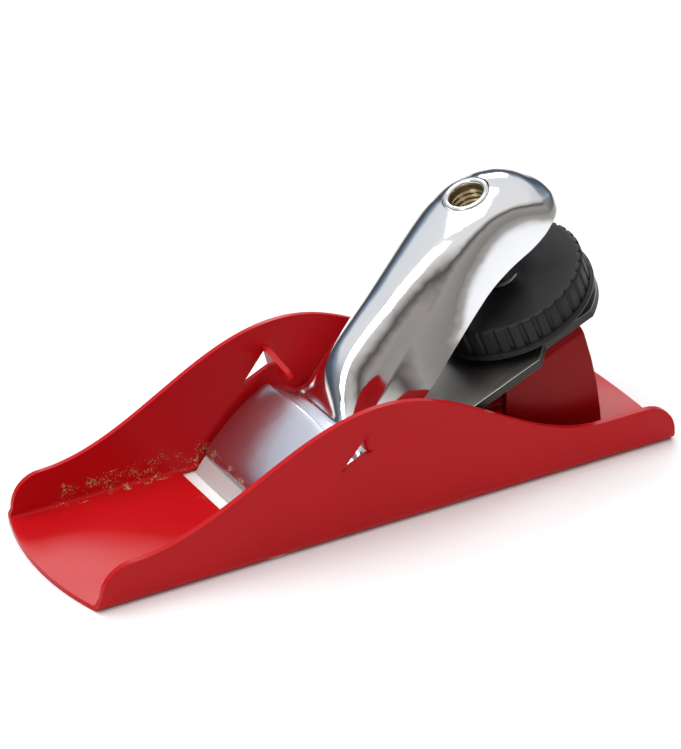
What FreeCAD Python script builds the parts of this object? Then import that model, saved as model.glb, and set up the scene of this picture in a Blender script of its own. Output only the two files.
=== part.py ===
# Small pressed-steel block plane: a folded sole with curved walls, a bevel-up
# iron on a folded bracket, and a lever cap that a thumbwheel screw tightens.
# Row frame: origin under the middle of the sole, +X from toe to heel, +Z up.
import FreeCAD
import Part
import math
import os
from Sketcher import Constraint

doc = FreeCAD.newDocument("HandPlane")
sheet = doc.addObject("Spreadsheet::Sheet", "Dims")
NODES = []

# ---------------------------------------------------------------- dimensions
# Along the sole, lengths run from the foremost point of the toe.  Along the
# bed, "run" goes up the slope from the cutting edge and "rise" stands square
# to the bed, from the underside of the iron.
DIMENSIONS = [
    ("sole_length", 145.2, "toe to heel, over both curved ends"),
    ("sole_width", 42.0, "over the walls at the sole"),
    ("sheet_gauge", 1.2, "pressed sheet of the sole and walls"),
    ("wall_lean", 3.1, "degrees that each wall leans outward"),
    ("bend_radius", 1.0, "inside of the fold between sole and wall"),
    ("toe_bulge", 3.4, "how far the toe edge curves out"),
    ("heel_bulge", 1.0, "how far the heel edge curves out"),
    ("toe_wall_height", 10.2, "wall beside the toe"),
    ("heel_wall_height", 10.2, "wall beside the heel"),
    ("toe_corner_radius", 7.0, "rounded wall corner at the toe"),
    ("heel_corner_radius", 8.0, "rounded wall corner at the heel"),
    ("toe_wall_setback", 0.5, "toe end of the walls behind the toe's curve"),
    ("corner_foot", 2.4, "height where the rounded corners start"),
    ("hump_height", 30.9, "highest point of the walls"),
    ("hump_peak", 69.4, "where the walls are highest"),
    ("hump_rise_length", 59.0, "toe side of the hump"),
    ("hump_fall_length", 56.0, "heel side of the hump"),
    ("bed_angle", 22.8, "degrees from the sole up to the iron"),
    ("edge_place", 46.9, "cutting edge, along the sole"),
    ("edge_height", 0.12, "cutting edge above the resting plane"),
    ("iron_width", 38.1, "cutting iron across"),
    ("iron_gauge", 2.0, "cutting iron thick"),
    ("bevel_angle", 32.0, "degrees ground on top of the iron"),
    ("iron_shoulder", 69.0, "run where the iron narrows"),
    ("iron_tail_width", 31.0, "iron behind its shoulders"),
    ("iron_tail_radius", 18.6, "rounded rear end of the iron"),
    ("slide_clearance", 0.05, "between flat sliding faces"),
    ("mouth_front_gap", 3.6, "mouth ahead of the cutting edge"),
    ("mouth_side_gap", 0.3, "mouth beside the iron"),
    ("mouth_rear_gap", 0.3, "mouth behind the iron's underside"),
    ("lug_run", 26.9, "run of the fold of each wall lug"),
    ("lug_rise", 13.0, "rise of the fold of each wall lug"),
    ("lug_height", 4.4, "length of a lug's fold"),
    ("lug_lean", 26.0, "degrees that the fold leans towards the toe"),
    ("lug_reach", 9.8, "how far a lug reaches inward"),
    ("lug_tip_height", 1.8, "lug at its tip"),
    ("lug_tip_drop", 1.1, "how far the lug falls towards its tip"),
    ("window_length", 7.9, "opening that the lug was folded out of"),
    ("window_drop", 40.0, "degrees that the opening points down"),
    ("frog_width", 31.4, "bracket over its cheeks"),
    ("frog_gauge", 1.5, "sheet of the bracket"),
    ("frog_front", 103.7, "front edge of the bracket's cheeks"),
    ("frog_top_length", 19.1, "top of the bracket, along the sole"),
    ("frog_rear_spread", 6.1, "how far the rear edge slopes out to the sole"),
    ("frog_rear_radius", 60.0, "curve of the rear edge"),
    ("foot_width", 8.0, "inward foot of each cheek"),
    ("rivet_radius", 1.5, "shank of the sole rivets"),
    ("rivet_head_radius", 2.6, "head of the sole rivets"),
    ("rivet_head_height", 0.9, "head of the sole rivets"),
    ("rivet_end_distance", 5.0, "rivet to the end of the foot"),
    ("rivet_rear_inset", 2.0, "rear rivets further from the sloping rear edge"),
    ("rivet_recess", 0.1, "rivet end below the resting plane of the sole"),
    ("fit_gap", 0.02, "between pieces that are fixed together"),
    ("cap_wall", 1.6, "lever cap shell"),
    ("cap_side_gap", 0.3, "skirt of the cap above the iron"),
    ("cap_groove_length", 4.4, "groove that the lugs press into"),
    ("cap_groove_gap", 0.2, "lug tip above the groove"),
    ("cap_groove_arch", 3.2, "rise of the arched groove floor"),
    ("screw_run", 75.0, "run of the clamp screw's axis"),
    ("screw_radius", 3.7, "clamp screw"),
    ("screw_clearance", 0.05, "clamp screw in its sleeve, all round"),
    ("screw_top_rise", 26.0, "upper end of the clamp screw"),
    ("screw_chamfer", 0.8, "bevel round the screw's upper end"),
    ("bush_wall", 0.9, "threaded sleeve"),
    ("bush_rim_overhang", 0.95, "rolled rim beyond the sleeve"),
    ("bush_rim_height", 1.5, "rolled rim of the sleeve"),
    ("rim_recess_gap", 0.2, "recess round the rolled rim"),
    ("boss_wall", 1.6, "boss of the cap round the sleeve"),
    ("boss_bottom_rise", 14.1, "lower end of the boss"),
    ("rim_seat_rise", 34.7, "seat of the sleeve's rim"),
    ("wheel_radius", 18.2, "ribbed rim of the thumbwheel"),
    ("wheel_lip_radius", 18.9, "lower lip of the thumbwheel"),
    ("wheel_lip_height", 1.3, "lower lip of the thumbwheel"),
    ("wheel_bottom_rise", 4.1, "underside of the thumbwheel"),
    ("wheel_top_rise", 11.6, "top of the thumbwheel"),
    ("wheel_edge", 0.5, "bevel round the top of the thumbwheel"),
    ("wheel_hub_radius", 7.0, "hub on the thumbwheel's underside"),
    ("rib_count", 36, "grooves round the thumbwheel"),
    ("rib_groove_radius", 0.8, "grooves round the thumbwheel"),
    ("rib_groove_depth", 0.5, "grooves round the thumbwheel"),
    ("foot_disc_radius", 6.0, "pressure foot under the clamp screw"),
    ("foot_disc_gauge", 1.7, "pressure foot"),
    ("foot_floor", 0.7, "pressure foot under its socket"),
    ("pivot_radius", 2.0, "lower pin of the clamp screw"),
    ("pivot_clearance", 0.05, "pin in the pressure foot"),
]

# Stations of the lever cap, from its front edge to its rounded end: name,
# run, half width, height of the skirt's lower edge, of its shoulder and of
# the crown.  The skirt hangs from the shoulder and the crown arches over.
FRONT_STATIONS = [
    ("nose", 3.7, 18.9, 2.15, 2.6, 3.5),
    ("brow", 12.0, 19.1, 2.25, 6.8, 8.6),
    ("crest", 23.2, 19.2, 2.3, 8.8, 11.5),
]
TAIL_STATIONS = [
    ("root", 27.6, 15.5, 3.2, 6.0, 13.0),
    ("throat", 34.4, 15.0, 5.0, 9.0, 19.8),
    ("back", 46.0, 14.0, 8.4, 14.0, 25.6),
    ("waist", 62.5, 12.0, 16.3, 22.0, 33.6),
    ("crown", 75.0, 11.0, 20.3, 26.0, 36.2),
    ("fall", 86.0, 8.8, 23.2, 26.5, 32.6),
    ("end", 92.4, 5.5, 23.8, 24.6, 26.4),
]
STATION_SIZES = ("run", "half", "low", "shoulder", "top")
for station, *sizes in FRONT_STATIONS + TAIL_STATIONS:
    for kind, size in zip(STATION_SIZES, sizes):
        DIMENSIONS.append((f"cap_{station}_{kind}", size, "lever cap station"))
for row, (alias, value, note) in enumerate(DIMENSIONS, start=1):
    sheet.set(f"A{row}", alias)
    sheet.set(f"B{row}", str(value))
    sheet.set(f"C{row}", note)
    sheet.setAlias(f"B{row}", alias)
doc.recompute()


def value_of(expression):
    """Number that an expression over the dimension sheet gives now."""
    result = sheet.evalExpression(expression)
    return float(getattr(result, "Value", result))


def dims(expression):
    """The same expression, with the sheet's name before each alias."""
    words = []
    word = ""
    for letter in expression + " ":
        if letter.isalnum() or letter == "_" or letter == ".":
            word += letter
            continue
        words.append("Dims." + word if word in ALIASES else word)
        words.append(letter)
        word = ""
    return "".join(words).strip()


ALIASES = {alias for alias, value, note in DIMENSIONS}
LEAN = "tan(wall_lean * 1deg)"
BED_SINE = "sin(bed_angle * 1deg)"
BED_COSINE = "cos(bed_angle * 1deg)"
BED_SLOPE = "tan(bed_angle * 1deg)"


def sole_place(run, rise):
    """Toe distance and height, as expressions, of a point given on the bed."""
    along = f"(edge_place + ({run}) * {BED_COSINE} - ({rise}) * {BED_SINE})"
    height = f"(edge_height + ({run}) * {BED_SINE} + ({rise}) * {BED_COSINE})"
    return along, height


# ------------------------------------------------------------------- helpers
def new_body(name, on_bed=False):
    """A PartDesign body, placed from the toe or from the cutting edge."""
    body = doc.addObject("PartDesign::Body", name)
    body.Label = name
    if on_bed:
        body.Placement.Rotation = FreeCAD.Rotation(
            FreeCAD.Vector(0, 1, 0), -value_of("bed_angle"))
        body.setExpression("Placement.Base.x", dims("edge_place - sole_length / 2"))
        body.setExpression("Placement.Base.z", dims("edge_height"))
        body.setExpression("Placement.Rotation.Angle", dims("-bed_angle"))
    else:
        body.setExpression("Placement.Base.x", dims("-sole_length / 2"))
    NODES.append(body)
    return body


def new_sketch(body, plane, name, offset=None):
    """A sketch on one of the body's own origin planes."""
    sketch = body.newObject("Sketcher::SketchObject", name)
    support = [item for item in body.Origin.OriginFeatures if item.Role == plane][0]
    sketch.AttachmentSupport = [(support, "")]
    sketch.MapMode = "FlatFace"
    if offset:
        sketch.setExpression("AttachmentOffset.Base.z", dims(offset))
    return sketch


def pin_point(sketch, geometry, end, across, up):
    """Hold one end of a sketch line or arc at two sheet expressions."""
    for kind, axis, expression in (("DistanceX", -2, across), ("DistanceY", -1, up)):
        if expression == "0":
            sketch.addConstraint(Constraint("PointOnObject", geometry, end, axis))
            continue
        index = sketch.addConstraint(
            Constraint(kind, geometry, end, value_of(expression)))
        sketch.setExpression(f"Constraints[{index}]", dims(expression))


def draw(sketch, corners):
    """Closed outline.  Each corner is (across, up) or (across, up, way).  The
    way is how the edge leaves the corner: a radius makes it an arc, which
    bulges right of its path, or left where the radius has a minus sign, and a
    list of points makes it a curve through them that starts and ends level."""
    count = len(corners)
    points = [FreeCAD.Vector(value_of(c[0]), value_of(c[1]), 0) for c in corners]
    ends = []
    for index, corner in enumerate(corners):
        start = points[index]
        finish = points[(index + 1) % count]
        if len(corner) == 2:
            geometry = sketch.addGeometry(Part.LineSegment(start, finish))
            ends.append((geometry, 1, 2))
            continue
        if isinstance(corner[2], list):
            curve = Part.BSplineCurve()
            level = FreeCAD.Vector(1, 0, 0)
            curve.interpolate([start] + corner[2] + [finish],
                              InitialTangent=level, FinalTangent=level)
            ends.append((sketch.addGeometry(curve), 1, 2))
            continue
        radius = value_of(corner[2].lstrip("-"))
        side = -1 if corner[2].startswith("-") else 1
        chord = finish - start
        half = chord.Length / 2
        sagitta = radius - math.sqrt(max(radius * radius - half * half, 0))
        right = FreeCAD.Vector(chord.y, -chord.x, 0).normalize()
        middle = (start + finish) * 0.5 + right * (side * sagitta)
        geometry = sketch.addGeometry(Part.Arc(start, middle, finish))
        first = sketch.getPoint(geometry, 1)
        swapped = (first - start).Length > (first - finish).Length
        ends.append((geometry, 2, 1) if swapped else (geometry, 1, 2))
        index_of_radius = sketch.addConstraint(
            Constraint("Radius", geometry, radius))
        sketch.setExpression(f"Constraints[{index_of_radius}]",
                             dims(corner[2].lstrip("-")))
    for index, (geometry, begin, end) in enumerate(ends):
        following, next_begin, next_end = ends[(index + 1) % count]
        sketch.addConstraint(Constraint(
            "Coincident", geometry, end, following, next_begin))
    for (geometry, begin, end), corner in zip(ends, corners):
        pin_point(sketch, geometry, begin, corner[0], corner[1])


def draw_circle(sketch, across, up, radius):
    """Circle with its centre and radius bound to the sheet."""
    centre = FreeCAD.Vector(value_of(across), value_of(up), 0)
    circle = Part.Circle(centre, FreeCAD.Vector(0, 0, 1), value_of(radius))
    geometry = sketch.addGeometry(circle)
    index = sketch.addConstraint(Constraint("Radius", geometry, value_of(radius)))
    sketch.setExpression(f"Constraints[{index}]", dims(radius))
    pin_point(sketch, geometry, 3, across, up)


def feature(body, kind, name, sketch, length=None, symmetric=False, reverse=False):
    """Pad or Pocket of a sketch; with no length it goes through everything."""
    item = body.newObject(kind, name)
    item.Profile = sketch
    if length is None:
        item.Type = "ThroughAll"
    else:
        item.setExpression("Length", dims(length))
    item.SideType = "Symmetric" if symmetric else "One side"
    item.Reversed = reverse
    sketch.Visibility = False
    doc.recompute()
    return item


def pad(body, name, sketch, length, symmetric=False, reverse=False):
    return feature(body, "PartDesign::Pad", name, sketch, length, symmetric, reverse)


def pocket(body, name, sketch, length=None, symmetric=False, reverse=False):
    """A cut that must take something away."""
    before = body.Shape.Volume
    item = feature(body, "PartDesign::Pocket", name, sketch, length, symmetric, reverse)
    if body.Shape.Volume > before - 1e-3:
        raise RuntimeError(f"{name} cuts nothing from {body.Label}")
    return item


def turned(body, name, outline, kind="PartDesign::Revolution"):
    """Full turn of an outline (radius, rise) about the screw's axis."""
    sketch = new_sketch(body, "XZ_Plane", name + "_outline")
    draw(sketch, [(f"screw_run + {radius}", rise) for radius, rise in outline])
    start = FreeCAD.Vector(value_of("screw_run"), 0, 0)
    axis = sketch.addGeometry(Part.LineSegment(start, start + FreeCAD.Vector(0, 50, 0)), True)
    pin_point(sketch, axis, 1, "screw_run", "0")
    sketch.addConstraint(Constraint("Vertical", axis))
    item = body.newObject(kind, name)
    item.Profile = sketch
    item.ReferenceAxis = (sketch, ["Axis0"])
    item.Angle = 360
    sketch.Visibility = False
    doc.recompute()
    return item


def edges_where(shape, test):
    """Names of the edges whose middle point and direction pass a test."""
    names = []
    for index, edge in enumerate(shape.Edges, start=1):
        middle = edge.valueAt((edge.FirstParameter + edge.LastParameter) / 2)
        if test(edge, middle):
            names.append(f"Edge{index}")
    return names


def round_edges(body, name, base, names, radius):
    item = body.newObject("PartDesign::Fillet", name)
    item.Base = (base, names)
    item.setExpression("Radius", dims(radius))
    doc.recompute()
    return item



# ---------------------------------------------------------------- body shell
HALF_INSIDE = "(sole_width / 2 - sheet_gauge / cos(wall_lean * 1deg))"
LUG_ALONG, LUG_HEIGHT = sole_place("lug_run", "lug_rise")


def hump_points():
    """Points on the walls' top edge between the two low stretches: half a
    cosine wave up to the hump, and half a wave down again."""
    peak = value_of("hump_peak")
    high = value_of("hump_height")
    rise = -value_of("hump_rise_length")
    fall = value_of("hump_fall_length")
    steps = [(rise, 0.75), (rise, 0.5), (rise, 0.25), (rise, 0),
             (fall, 0.25), (fall, 0.5), (fall, 0.75)]
    points = []
    for length, share in steps:
        low = value_of("toe_wall_height" if length < 0 else "heel_wall_height")
        lift = (1 + math.cos(math.pi * share)) / 2
        points.append(FreeCAD.Vector(peak + length * share, low + (high - low) * lift, 0))
    return points


def trim_walls(body):
    """Cut the walls down to their curved top edge, rounded at both ends."""
    sketch = new_sketch(body, "XZ_Plane", "wall_top_edge")
    toe_end = "(toe_bulge + toe_wall_setback)"
    heel_end = "sole_length - heel_bulge"
    above = "hump_height + 10"
    draw(sketch, [
        ("-10", "corner_foot"),
        (toe_end, "corner_foot"),
        (toe_end, "toe_wall_height - toe_corner_radius", "-toe_corner_radius"),
        (f"{toe_end} + toe_corner_radius", "toe_wall_height"),
        ("hump_peak - hump_rise_length", "toe_wall_height", hump_points()),
        ("hump_peak + hump_fall_length", "heel_wall_height"),
        (f"{heel_end} - heel_corner_radius", "heel_wall_height", "-heel_corner_radius"),
        (heel_end, "heel_wall_height - heel_corner_radius"),
        (heel_end, "corner_foot"),
        ("sole_length + 10", "corner_foot"),
        ("sole_length + 10", above),
        ("-10", above),
    ])
    return sketch


LUG_AHEAD = 0.7  # share of a lug's thickness on the toe side of its fold


def make_body_shell():
    """One sheet folded up into two leaning walls round a flat sole, with a
    mouth for the iron and a lug pushed inward out of a window in each wall."""
    body = new_body("body_shell")

    section = new_sketch(body, "YZ_Plane", "folded_section")
    top = "(hump_height + 5)"
    outer_top = f"sole_width / 2 + {top} * {LEAN}"
    inner_top = f"{HALF_INSIDE} + {top} * {LEAN}"
    inner_foot = f"{HALF_INSIDE} + sheet_gauge * {LEAN}"
    draw(section, [
        ("sole_width / 2", "0"),
        (outer_top, top),
        (inner_top, top),
        (inner_foot, "sheet_gauge"),
        (f"-({inner_foot})", "sheet_gauge"),
        (f"-({inner_top})", top),
        (f"-({outer_top})", top),
        ("-sole_width / 2", "0"),
    ])
    channel = pad(body, "folded_sheet", section, "sole_length")

    gauge = value_of("sheet_gauge")
    outside = edges_where(channel.Shape, lambda edge, middle: (
        edge.Length > value_of("sole_length") - 1 and abs(middle.z) < 0.01))
    rounded = round_edges(body, "outer_fold", channel, outside, "bend_radius + sheet_gauge")
    inside = edges_where(rounded.Shape, lambda edge, middle: (
        edge.Length > value_of("sole_length") - 1 and abs(middle.z - gauge) < 0.01
        and abs(middle.y) > value_of(HALF_INSIDE) - 0.5))
    round_edges(body, "inner_fold", rounded, inside, "bend_radius")

    pocket(body, "wall_trim", trim_walls(body), symmetric=True)

    for end, start, bulge, direction in (("toe", "0", "toe_bulge", 1),
                                         ("heel", "sole_length", "heel_bulge", -1)):
        sketch = new_sketch(body, "XY_Plane", f"{end}_edge")
        half = "(sole_width / 2 + 2)"
        radius = f"((sole_width ^ 2 / 4 + {bulge} ^ 2) / (2 * {bulge}))"
        sign = "+" if direction > 0 else "-"
        inset = f"{start} {sign} ({radius} - sqrt({radius} ^ 2 - {half} ^ 2))"
        beyond = f"{start} {'-' if direction > 0 else '+'} 10"
        draw(sketch, [
            (beyond, f"-{half}"),
            (inset, f"-{half}", f"{'-' if direction > 0 else ''}{radius}"),
            (inset, half),
            (beyond, half),
        ])
        pocket(body, f"{end}_curve", sketch, reverse=True)

    mouth = new_sketch(body, "XY_Plane", "mouth_outline")
    mouth_half = "(iron_width / 2 + mouth_side_gap)"
    mouth_front = "edge_place - mouth_front_gap"
    mouth_rear = f"edge_place + (sheet_gauge - edge_height) / {BED_SLOPE} + mouth_rear_gap"
    draw(mouth, [
        (mouth_front, f"-{mouth_half}"),
        (mouth_rear, f"-{mouth_half}"),
        (mouth_rear, mouth_half),
        (mouth_front, mouth_half),
    ])
    pocket(body, "mouth", mouth, reverse=True)

    lean_along = "sin(lug_lean * 1deg)"
    lean_up = "cos(lug_lean * 1deg)"
    window = new_sketch(body, "XZ_Plane", "window_outline")
    draw(window, [
        (f"{LUG_ALONG} + lug_height / 2 * {lean_along}",
         f"{LUG_HEIGHT} - lug_height / 2 * {lean_up}"),
        (f"{LUG_ALONG} - lug_height / 2 * {lean_along}",
         f"{LUG_HEIGHT} + lug_height / 2 * {lean_up}"),
        (f"{LUG_ALONG} - window_length * cos(window_drop * 1deg)",
         f"{LUG_HEIGHT} - window_length * sin(window_drop * 1deg)"),
    ])
    pocket(body, "windows", window, symmetric=True)

    wall_face = f"({HALF_INSIDE} + {LUG_HEIGHT} * {LEAN})"
    for side, sign in (("near", "1"), ("far", "-1")):
        sections = []
        for place, reach, height, drop in (
                ("fold", "-sheet_gauge / 2", "lug_height", "0"),
                ("tip", "lug_reach", "lug_tip_height", "lug_tip_drop")):
            sketch = new_sketch(body, "XZ_Plane", f"{side}_lug_{place}",
                                f"{sign} * ({wall_face} - ({reach}))")
            corners = []
            for across, up in ((-LUG_AHEAD, -0.5), (1 - LUG_AHEAD, -0.5),
                               (1 - LUG_AHEAD, 0.5), (-LUG_AHEAD, 0.5)):
                thick = f"{across} * sheet_gauge"
                tall = f"({up} * {height} - {drop})"
                corners.append((
                    f"{LUG_ALONG} + {thick} * {lean_up} - {tall} * {lean_along}",
                    f"{LUG_HEIGHT} + {thick} * {lean_along} + {tall} * {lean_up}"))
            draw(sketch, corners)
            sections.append(sketch)
        loft = body.newObject("PartDesign::AdditiveLoft", f"{side}_lug")
        loft.Profile = sections[0]
        loft.Sections = [(sections[1], [""])]
        loft.Ruled = True
        doc.recompute()

    holes = new_sketch(body, "XY_Plane", "rivet_holes")
    for along, across in rivet_places():
        draw_circle(holes, along, across, "rivet_radius + fit_gap")
    pocket(body, "rivet_bores", holes, reverse=True)
    return body


# -------------------------------------------------------------- frog bracket
FROG_REAR = "(frog_front + frog_top_length)"


def bed_height(along, rise):
    """Height above the sole of a line parallel to the bed."""
    return (f"(edge_height + (({along}) - edge_place) * {BED_SLOPE}"
            f" + ({rise}) / {BED_COSINE})")


def rivet_places():
    """Two rivets through each foot of the bracket, in the shell's plan."""
    across = "(frog_width / 2 - foot_width / 2 - frog_gauge / 2)"
    places = []
    for along in ("frog_front + rivet_end_distance",
                  f"{FROG_REAR} + frog_rear_spread - rivet_end_distance - rivet_rear_inset"):
        for sign in ("-", ""):
            places.append((along, f"{sign}{across}"))
    return places


def make_frog_bracket():
    """Folded saddle that carries the iron: a sloping top plate, two cheeks
    and an inward foot along the bottom of each cheek."""
    body = new_body("frog_bracket")
    sides = new_sketch(body, "XZ_Plane", "cheek_outline")
    draw(sides, [
        ("frog_front", "sheet_gauge"),
        (f"{FROG_REAR} + frog_rear_spread", "sheet_gauge", "frog_rear_radius"),
        (FROG_REAR, bed_height(FROG_REAR, "-slide_clearance")),
        ("frog_front", bed_height("frog_front", "-slide_clearance")),
    ])
    pad(body, "block", sides, "frog_width", symmetric=True)

    inside = new_sketch(body, "XZ_Plane", "inside_outline")
    front = "(frog_front - 10)"
    rear = f"({FROG_REAR} + frog_rear_spread + 10)"
    foot_top = "sheet_gauge + frog_gauge"
    under = "-(slide_clearance + frog_gauge)"
    draw(inside, [
        (front, foot_top),
        (rear, foot_top),
        (rear, bed_height(rear, under)),
        (front, bed_height(front, under)),
    ])
    pocket(body, "hollow", inside, "frog_width - 2 * frog_gauge", symmetric=True)

    between = new_sketch(body, "XZ_Plane", "between_feet")
    draw(between, [
        (front, "sheet_gauge / 2"),
        (rear, "sheet_gauge / 2"),
        (rear, f"{foot_top} + 1"),
        (front, f"{foot_top} + 1"),
    ])
    pocket(body, "open_bottom", between, "frog_width - 2 * foot_width", symmetric=True)

    holes = new_sketch(body, "XY_Plane", "rivet_holes")
    for along, across in rivet_places():
        draw_circle(holes, along, across, "rivet_radius + fit_gap")
    pocket(body, "rivet_bores", holes, "sheet_gauge + frog_gauge + 0.1", reverse=True)
    return body


def make_rivets():
    """Four domed rivets that hold the bracket's feet to the sole."""
    for number, (along, across) in enumerate(rivet_places(), start=1):
        body = new_body(f"frog_rivet_{number}")
        body.setExpression("Placement.Base.x", dims(f"{along} - sole_length / 2"))
        body.setExpression("Placement.Base.y", dims(across))
        outline = new_sketch(body, "XZ_Plane", "rivet_outline")
        seat = "(sheet_gauge + frog_gauge + fit_gap)"
        dome = "((rivet_head_radius ^ 2 + rivet_head_height ^ 2) / (2 * rivet_head_height))"
        draw(outline, [
            ("0", "rivet_recess"),
            ("rivet_radius", "rivet_recess"),
            ("rivet_radius", seat),
            ("rivet_head_radius", seat, dome),
            ("0", f"{seat} + rivet_head_height"),
        ])
        turn = body.newObject("PartDesign::Revolution", "rivet")
        turn.Profile = outline
        turn.ReferenceAxis = (outline, ["V_Axis"])
        turn.Angle = 360
        outline.Visibility = False
    doc.recompute()


# -------------------------------------------------------------- cutting iron
def make_cutting_iron():
    """Flat iron ground on top at the front, narrowed behind two shoulders and
    rounded at the rear about the screw's axis."""
    body = new_body("cutting_iron", on_bed=True)
    plan = new_sketch(body, "XY_Plane", "iron_plan")
    half = "iron_width / 2"
    tail = "iron_tail_width / 2"
    narrow = f"iron_shoulder + {half} - {tail}"
    round_start = f"screw_run + sqrt(iron_tail_radius ^ 2 - ({tail}) ^ 2)"
    draw(plan, [
        ("0", f"-{half}"),
        ("iron_shoulder", f"-{half}"),
        (narrow, f"-{tail}"),
        (round_start, f"-{tail}", "iron_tail_radius"),
        (round_start, tail),
        (narrow, tail),
        ("iron_shoulder", half),
        ("0", half),
    ])
    pad(body, "blank", plan, "iron_gauge")

    grind = new_sketch(body, "XZ_Plane", "bevel_outline")
    bevel_run = "iron_gauge / tan(bevel_angle * 1deg)"
    draw(grind, [
        ("-1", f"-1 * iron_gauge / ({bevel_run})"),
        (f"({bevel_run}) + 1", f"iron_gauge + iron_gauge / ({bevel_run})"),
        ("-1", f"iron_gauge + iron_gauge / ({bevel_run})"),
    ])
    pocket(body, "bevel", grind, symmetric=True)
    return body


# ----------------------------------------------------------------- lever cap
BUSH_OUTSIDE = "(screw_radius + screw_clearance + bush_wall)"
BUSH_RIM = f"({BUSH_OUTSIDE} + bush_rim_overhang)"
SHOULDER_INSET = 0.9  # share of the wall between the two shoulders
CROWN_INSET = 1.1  # share of the wall between the two crowns


def cap_section(body, name, run, half, low, shoulder, top):
    """Upright skirts from low to shoulder, with an arch over them."""
    sketch = new_sketch(body, "YZ_Plane", name, run)
    arch = f"((({half}) ^ 2 + (({top}) - ({shoulder})) ^ 2) / (2 * (({top}) - ({shoulder}))))"
    draw(sketch, [
        (f"-({half})", low),
        (half, low),
        (half, shoulder, arch),
        (f"-({half})", shoulder),
    ])
    return sketch


def loft_through(body, kind, name, sections):
    item = body.newObject(kind, name)
    item.Profile = sections[0]
    item.Sections = [(section, [""]) for section in sections[1:]]
    doc.recompute()
    for section in sections:
        section.Visibility = False
    return item


def station(name, inset="0", back="0"):
    """Sizes of a cap station, or of the hollow that lies inset within it."""
    run, half, low, shoulder, top = (f"cap_{name}_{kind}" for kind in STATION_SIZES)
    if inset == "0":
        return run, half, low, shoulder, top
    return (f"{run} - ({back})", f"({half} - {inset})", f"({low} - 3)",
            f"({shoulder} - {inset} * {SHOULDER_INSET})",
            f"({top} - {inset} * {CROWN_INSET})")


def make_lever_cap():
    """Cast cap: a wide front that rests on the iron, a groove across it for
    the wall lugs, and a hollow arched tail with a boss for the screw."""
    body = new_body("lever_cap", on_bed=True)

    front = [cap_section(body, f"front_{item[0]}", *station(item[0]))
             for item in FRONT_STATIONS]
    loft_through(body, "PartDesign::AdditiveLoft", "front_shell", front)

    groove = new_sketch(body, "YZ_Plane", "groove_section", "cap_crest_run - 1")
    floor = "(lug_rise - lug_tip_drop - lug_tip_height / 2 - cap_groove_gap)"
    drop = f"({floor} - cap_groove_arch)"
    arch = f"((cap_root_half ^ 2 + ({floor} - {drop}) ^ 2) / (2 * ({floor} - {drop})))"
    draw(groove, [
        ("-cap_root_half", "cap_root_low"),
        ("cap_root_half", "cap_root_low"),
        ("cap_root_half", drop, arch),
        ("-cap_root_half", drop),
    ])
    pad(body, "groove_floor", groove, "cap_groove_length + 2")

    tail = [cap_section(body, f"tail_{item[0]}", *station(item[0]))
            for item in TAIL_STATIONS]
    loft_through(body, "PartDesign::AdditiveLoft", "tail_shell", tail)

    inner_tail = [cap_section(body, f"tail_hollow_{item[0]}", *station(item[0], "cap_wall"))
                  for item in TAIL_STATIONS[:-1]]
    inner_tail.append(cap_section(body, "tail_hollow_end",
                                  *station("end", "cap_wall", "cap_wall * 1.5")))
    loft_through(body, "PartDesign::SubtractiveLoft", "tail_hollow", inner_tail)

    boss = new_sketch(body, "XY_Plane", "boss_outline", "boss_bottom_rise")
    draw_circle(boss, "screw_run", "0", f"{BUSH_OUTSIDE} + boss_wall")
    pad(body, "boss", boss, "rim_seat_rise - boss_bottom_rise")

    seat = new_sketch(body, "XY_Plane", "rim_seat", "rim_seat_rise")
    draw_circle(seat, "screw_run", "0", f"{BUSH_RIM} + rim_recess_gap")
    pocket(body, "rim_recess", seat, "10", reverse=True)

    bore = new_sketch(body, "XY_Plane", "sleeve_bore", "boss_bottom_rise - 5")
    draw_circle(bore, "screw_run", "0", f"{BUSH_OUTSIDE} + fit_gap")
    pocket(body, "sleeve_hole", bore, reverse=True)
    return body


def make_threaded_bush():
    """Steel sleeve pressed into the boss, with a rolled rim on top."""
    body = new_body("threaded_bush", on_bed=True)
    bore = "(screw_radius + screw_clearance)"
    seat = "rim_seat_rise + fit_gap"
    roll = "bush_rim_height / 2"
    turned(body, "sleeve", [
        (bore, "boss_bottom_rise"),
        (BUSH_OUTSIDE, "boss_bottom_rise"),
        (BUSH_OUTSIDE, seat),
        (f"{BUSH_RIM} - {roll}", seat),
        (BUSH_RIM, f"{seat} + {roll}"),
        (f"{BUSH_RIM} - {roll}", f"{seat} + bush_rim_height"),
        (f"{bore} + {roll}", f"{seat} + bush_rim_height"),
        (bore, f"{seat} + {roll}"),
    ])
    return body


# ------------------------------------------------------ thumbwheel and screw
HUB_BOTTOM = "(iron_gauge + 2 * slide_clearance + foot_disc_gauge)"


def make_pressure_foot():
    """Disc that bears on the iron, with a socket for the screw's pin."""
    body = new_body("pressure_foot", on_bed=True)
    under = "iron_gauge + slide_clearance"
    socket = "(pivot_radius + pivot_clearance)"
    turned(body, "disc", [
        ("0", under),
        ("foot_disc_radius", under),
        ("foot_disc_radius", f"{under} + foot_disc_gauge"),
        (socket, f"{under} + foot_disc_gauge"),
        (socket, f"{under} + foot_floor"),
        ("0", f"{under} + foot_floor"),
    ])
    return body


def make_clamp_screw():
    """Screw moulded into the thumbwheel: a pin below, the thread above."""
    body = new_body("clamp_screw", on_bed=True)
    turned(body, "turned_screw", [
        ("0", "iron_gauge + slide_clearance + foot_floor + pivot_clearance"),
        ("pivot_radius", "iron_gauge + slide_clearance + foot_floor + pivot_clearance"),
        ("pivot_radius", HUB_BOTTOM),
        ("screw_radius", HUB_BOTTOM),
        ("screw_radius", "screw_top_rise - screw_chamfer"),
        ("screw_radius - screw_chamfer", "screw_top_rise"),
        ("0", "screw_top_rise"),
    ])
    return body


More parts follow.
